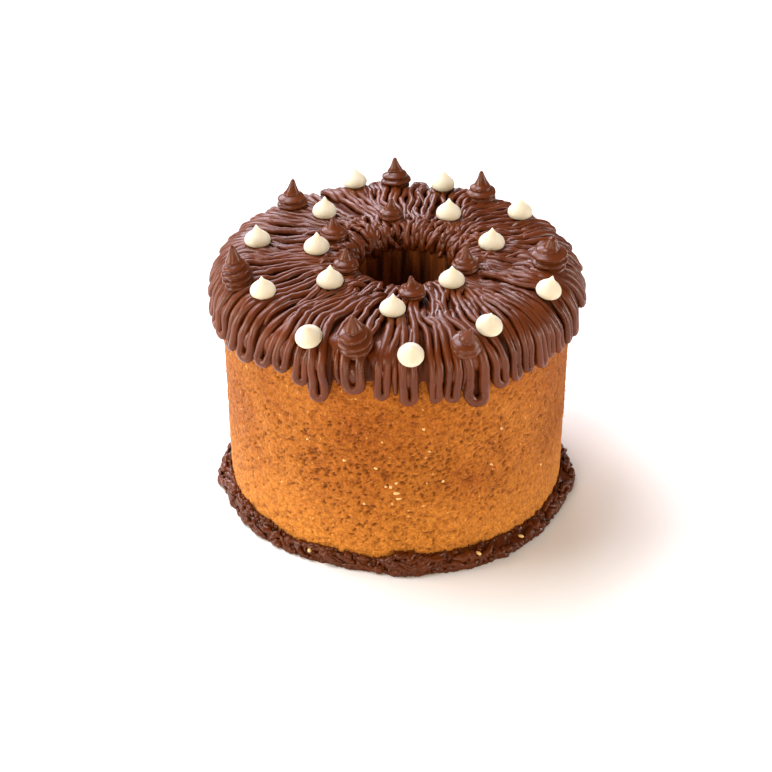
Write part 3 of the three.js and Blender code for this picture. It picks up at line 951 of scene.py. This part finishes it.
def loop_feet(loops):
    """Bearing, height and half width of the loops' lowest points."""
    feet = []
    for loop in loops:
        bearing = loop["bearing"] + drift(loop["bearing"], loop["hem"]) / TOP_RADIUS
        feet.append((bearing, SHOULDER_Z - (loop["hem"] - SHOULDER_END), loop["half"]))
    return feet


def make_core(material, loops):
    """The icing under the strands, which closes the gaps between them and reaches down into the loops."""
    bm = lathe(core_section(), CORE_COLUMNS)
    feet = loop_feet(loops)
    for vert in bm.verts:
        radius, bearing, z = polar(vert.co)
        off_sponge = z - SPONGE_HEIGHT
        if radius > SHOULDER_R:
            off_sponge = math.hypot(radius - SHOULDER_R, z - SHOULDER_Z) - SHOULDER_ROUND
        if radius > TOP_RADIUS and z < CORE_HEM_TOP:
            distance, foot, half = min((abs(math.remainder(bearing - at, TURN)) * radius, foot, half)
                                       for at, foot, half in feet)
            edge = min(CORE_HEM_TOP, foot - 0.7 + 6.5 * smoothstep(distance, half, half + 2))
            z = edge + z - CORE_HEM
            radius += 1.2 * (1 - smoothstep(distance, half, half + 1))
        elif radius < HOLE_RADIUS + 0.5:
            z += 1.2 * ripple(bearing * 6, 4.4) + 0.8 * ripple(bearing * 17, 8.8)
        elif off_sponge > 0.9 and z > SHOULDER_Z:
            out, lean = core_ridge(radius, bearing, z)
            radius += out * math.cos(lean)
            z += out * math.sin(lean)
        vert.co = around(radius, bearing, z)
    finish_piece(bm, "icing_core", material)


# Toppings

def seat(radius, bearing_degrees, sink):
    """The place on the icing at a radius and bearing, and the way out there."""
    bearing = math.radians(bearing_degrees)
    reach = SHOULDER_ROUND + SEAT
    lean = math.acos(min(1, max(0, radius - SHOULDER_R) / reach))
    flat = Vector((math.cos(bearing), math.sin(bearing), 0))
    out = flat * math.cos(lean) + UP * math.sin(lean)
    place = flat * radius + Vector((0, 0, SHOULDER_Z + reach * math.sin(lean)))
    return place - out * sink, out


def standing(place, axis, spin):
    """A matrix that stands a shape on a place along an axis."""
    upright = axis.to_track_quat("Z", "Y").to_matrix().to_4x4()
    return Matrix.Translation(place) @ upright @ Matrix.Rotation(spin, 4, "Z")


def topping_matrix(radius, bearing, sink, spin):
    """Stands a topping half way between upright and square to the icing."""
    place, out = seat(radius, bearing, sink)
    return standing(place, (out + UP).normalized(), spin)


def make_drop(number, radius, bearing, material, rng):
    half = DROP_DIAMETER / 2 * rng.uniform(0.98, 1.03)
    height = DROP_HEIGHT * rng.uniform(0.97, 1.03)
    profile = [(0, -DROP_SUNK), (0.6 * half, -DROP_SUNK)]
    profile += [(r * half, z * height) for z, r in DROP_OUTLINE]
    bm = spun(profile, DROP_SIDES)
    tip = Vector((rng.uniform(-0.35, 0.35), rng.uniform(-0.35, 0.35), 0))
    swell = rng.uniform(0.98, 1.02)
    for vert in bm.verts:
        vert.co += tip * smoothstep(vert.co.z / height, 0.55, 1)
        vert.co.x *= swell
        vert.co.y /= swell
    move(bm, topping_matrix(radius, bearing, PRESSED_IN, rng.uniform(0, TURN)))
    node = f"white_drop_{number:02d}"
    finish_piece(bm, f"{node}_chocolate", material, [node])


def kiss_profile(outline, half, height):
    """The side of a kiss from its foot to its tip, with the corners of its outline worn down."""
    places, sizes = [], []
    for up in shares(KISS_ROWS):
        at = lerp(outline[0][0], 1, up)
        before = [spot for spot in outline if spot[0] <= at][-1]
        after = ([spot for spot in outline if spot[0] > at] or outline[-1:])[0]
        share = (at - before[0]) / max(0.001, after[0] - before[0])
        places.append(at * height)
        sizes.append(lerp(before[1], after[1], share) * half)
    for _ in range(KISS_WEAR):
        inner = [(a + 2 * b + c) / 4 for a, b, c in zip(sizes, sizes[1:], sizes[2:])]
        sizes = sizes[:1] + inner + sizes[-1:]
    return [(0, places[0])] + list(zip(sizes, places))


def make_kiss(node, radius, bearing, diameter, height, pitch, groove, outline, material, rng):
    """A kiss: a round body with a groove that winds up it, drawn out to a tip."""
    half = diameter / 2
    start = rng.uniform(0, 1)
    lean = Vector((rng.uniform(-0.6, 0.6), rng.uniform(-0.6, 0.6), 0))
    bm = spun(kiss_profile(outline, half, height), KISS_SIDES)
    for vert in bm.verts:
        x, y, z = vert.co
        out = max(0.01, math.hypot(x, y))
        turn = math.atan2(y, x) / TURN
        valley = 1 - abs(math.sin(math.pi * (z / pitch - turn + start)))
        cut = groove * valley * smoothstep(out / half, 0.4, 0.7)
        lump = 0.3 * ripple(x * 0.3, y * 0.3, z * 0.3 + radius) * smoothstep(out / half, 0.2, 0.6)
        size = 1 + (lump - cut) / out
        vert.co = Vector((x * size, y * size, z)) + lean * smoothstep(z / height, 0.35, 1.05)
    move(bm, topping_matrix(radius, bearing, PRESSED_IN * 0.5, 0))
    finish_piece(bm, f"{node}_chocolate", material, [node])


# Bead round the foot

def bead_shape(bearing):
    """Height and width of the bead at a bearing."""
    degrees = math.degrees(bearing)
    ring = BEAD_SHAPE + [(BEAD_SHAPE[0][0] + 360, *BEAD_SHAPE[0][1:])]
    if degrees < ring[0][0]:
        degrees += 360
    for (start, low_height, low_width), (end, high_height, high_width) in zip(ring, ring[1:]):
        if degrees <= end:
            share = smoothstep(degrees, start, end)
            return lerp(low_height, high_height, share), lerp(low_width, high_width, share)


def bead_point(bearing, over):
    """A point on the bead, from the floor (0) over the roll to the side (1), and the way out there."""
    height, width = bead_shape(bearing)
    turn = over * math.pi / 2
    radius = FOOT_RADIUS + BEAD_GAP + width * math.cos(turn) ** 0.8
    flat = math.cos(turn) * height
    out = Vector((flat * math.cos(bearing), flat * math.sin(bearing), width * math.sin(turn)))
    return around(radius, bearing, height * math.sin(turn) ** 0.9), out.normalized()


def bead_roll():
    """The roll itself, lumpy and cracked, with a torn upper edge."""
    inner = FOOT_RADIUS + BEAD_GAP
    bm = lathe([(inner + ROLL_WIDTH * out, ROLL_HEIGHT * up) for out, up in BEAD_SECTION], BEAD_COLUMNS)
    for vert in bm.verts:
        x, y, z = vert.co
        bearing = math.atan2(y, x)
        across = (math.hypot(x, y) - FOOT_RADIUS - BEAD_GAP) / ROLL_WIDTH
        height, width = bead_shape(bearing)
        lumps = 0.9 * ripple(x * 0.16, y * 0.16, z * 0.2) + 0.8 * ripple(x * 0.36, y * 0.36, z * 0.45)
        knobs = 0.6 * ripple(x * 0.8, y * 0.8, z * 0.8) + 0.3 * ripple(x * 1.7, y * 1.7, z * 1.7 + 60)
        crack = 1.1 * smoothstep(0.22 - abs(ripple(x * 0.45 + 30, y * 0.45, z * 0.45)), 0, 0.22)
        swell = (lumps + knobs - crack * smoothstep(z, 0, 1.5)) * smoothstep(across, 0, 0.6)
        torn = max(0, ripple(bearing * 45, 3.3) + 0.8 * ripple(bearing * 100, 7.7))
        upper = smoothstep(z, 4, 4.9) * (1 - smoothstep(across, 0.15, 0.5))
        rise = 0.6 * swell * (1 - across) * smoothstep(z, 0, 1) + 1.5 * torn * upper
        vert.co = around(inner + width * across + swell, bearing, max(0, z * height / ROLL_HEIGHT + rise))
    return bm


def bead_lick(number, rng):
    """A short lumpy lick of chocolate on the roll."""
    bearing = rng.uniform(-math.pi, math.pi)
    length = rng.uniform(*LICK_LENGTH)
    over = rng.uniform(0.15, 0.85)
    rise = rng.uniform(-0.6, 0.6)
    size = rng.uniform(*LICK_SIZE)
    stops = []
    for share in shares(LICK_STEPS):
        arch = arched(share, 0.05, 0.7)
        wave = 0.15 * ripple(share * 2.5, number * 4.7)
        at = math.remainder(bearing + length * share / LICK_RADIUS, TURN)
        point, out = bead_point(at, min(0.95, max(0.15, over + rise * share + wave)))
        lump = size * (1 + 0.5 * ripple(share * length * 0.8, number * 2.3, 9))
        stops.append((point, out, lump * (0.25 + 0.75 * arch), lump * (0.25 + 0.7 * arch)))
    return sweep(stops, LICK_SIDES)


def bead_crumb(rng):
    """A crumb of chocolate on the roll."""
    point, out = bead_point(rng.uniform(-math.pi, math.pi), rng.uniform(0.05, 1))
    size = rng.uniform(*BEAD_CRUMB_SIZE)
    grain = bmesh.new()
    bmesh.ops.create_icosphere(grain, subdivisions=1, radius=size)
    for vert in grain.verts:
        vert.co *= 1 + rng.uniform(-0.25, 0.25)
    stretch = Matrix.Diagonal((rng.uniform(0.8, 1.5), rng.uniform(0.8, 1.2), rng.uniform(0.6, 0.9), 1))
    place = Matrix.Translation(point + UP * (0.2 * size))
    move(grain, place @ Matrix.Rotation(rng.uniform(0, TURN), 4, out) @ stretch)
    return grain


def bead_spike(rng):
    """A torn point on the roll's upper edge."""
    bearing = rng.uniform(-math.pi, math.pi)
    height = bead_shape(bearing)[0]
    depth = rng.uniform(*SPIKE_HEIGHT)
    axis = Vector((rng.uniform(-0.5, 0.5), rng.uniform(-0.5, 0.5), 1)).normalized()
    spike = bmesh.new()
    bmesh.ops.create_cone(spike, cap_ends=True, segments=SPIKE_SIDES, radius1=rng.uniform(*SPIKE_RADIUS),
                          radius2=SPIKE_TIP, depth=depth)
    place = around(FOOT_RADIUS + rng.uniform(0.4, 1.0), bearing, height + rng.uniform(-0.5, 0.6))
    move(spike, standing(place, axis, rng.uniform(0, TURN)))
    return spike


def make_bead(material):
    """A rough roll of soft chocolate with licks, crumbs and torn points, none of them below the floor."""
    rng = random.Random(3)
    piece = bead_roll()
    for number in range(BEAD_LICKS):
        join(piece, bead_lick(number, rng))
    for _ in range(BEAD_CRUMBS):
        join(piece, bead_crumb(rng))
    for _ in range(BEAD_SPIKES):
        join(piece, bead_spike(rng))
    for vert in piece.verts:
        vert.co.z = max(0, vert.co.z)
    finish_piece(piece, "foot_bead_chocolate", material, ["foot_bead"])


# Studio

def aim(name, data, place, ahead):
    """A camera or light at a place, turned to look ahead."""
    made = bpy.data.objects.new(name, data)
    made.location = place
    made.rotation_euler = ahead.to_track_quat("-Z", "Y").to_euler()
    bpy.context.scene.collection.objects.link(made)
    return made


def make_camera():
    data = bpy.data.cameras.new("camera")
    data.sensor_width = 36
    data.lens = VIEW_LENS
    tilt = math.radians(VIEW_ELEVATION)
    target = TO_FRAME @ Vector(VIEW_TARGET)
    ahead = Vector((0, math.cos(tilt), -math.sin(tilt)))
    bpy.context.scene.camera = aim("camera", data, target - ahead * VIEW_DISTANCE * MM, ahead)


def make_light(name, place, size, power, colour):
    data = bpy.data.lights.new(name, "AREA")
    data.shape = "RECTANGLE"
    data.size, data.size_y = size
    data.energy = power
    data.color = colour
    aim(name, data, place, Vector(LIGHT_TARGET) - Vector(place))


def make_studio():
    bm = bmesh.new()
    bmesh.ops.create_grid(bm, x_segments=1, y_segments=1, size=4)
    floor = add_object(bm, "floor", floor_material())
    world = bpy.data.worlds.new("studio")
    world.use_nodes = True
    room = world.node_tree.nodes["Background"]
    set_values(room, {"Color": ROOM_COLOUR, "Strength": ROOM_STRENGTH})
    bpy.context.scene.world = world
    for light in LIGHTS:
        make_light(*light)
    bpy.context.scene.view_settings.view_transform = "Standard"


make_camera()
make_studio()

sponge_finish = sponge_material()
icing_finish = chocolate_material(
    "chocolate_icing", dark=(0.086, 0.0160, 0.0019), light=(0.136, 0.0276, 0.0038),
    roughness=0.30, specular=0.31, bump_depth=0.0003)
# Painted shade: the icing under the strands is the same chocolate, made darker for the shade in the gaps
# between the strands and between the loops.
groove_shade_finish = chocolate_material(
    "chocolate_painted_shade", dark=(0.056, 0.0105, 0.0015), light=(0.088, 0.0178, 0.0028),
    roughness=0.45, specular=0.12, bump_depth=0.0003)
kiss_finish = chocolate_material(
    "chocolate_kiss", dark=(0.084, 0.0166, 0.0023), light=(0.118, 0.0248, 0.0037),
    roughness=0.28, specular=0.28, bump_depth=0.0001)
bead_finish = chocolate_material(
    "chocolate_bead", dark=(0.068, 0.0132, 0.0013), light=(0.106, 0.0220, 0.0028),
    roughness=0.21, specular=0.20, bump_depth=0.0003)
drop_finish = white_drop_material()

piping = plan_loops()
make_sponge(sponge_finish)
make_loose_crumbs(crumb_material())
# The core takes the darker chocolate, which is painted shade for the gaps.
make_core(groove_shade_finish, piping)
make_loops(icing_finish, piping)
make_wisps(icing_finish, piping)
make_smears(icing_finish)
make_bead(bead_finish)

topping_random = random.Random(17)
for kind, kisses in (("outer", OUTER_KISSES), ("inner", INNER_KISSES)):
    for number, kiss in enumerate(kisses, 1):
        make_kiss(f"{kind}_kiss_{number}", *kiss, kiss_finish, topping_random)
for number, (radius, bearing) in enumerate(DROPS, 1):
    make_drop(number, radius, bearing, drop_finish, topping_random)
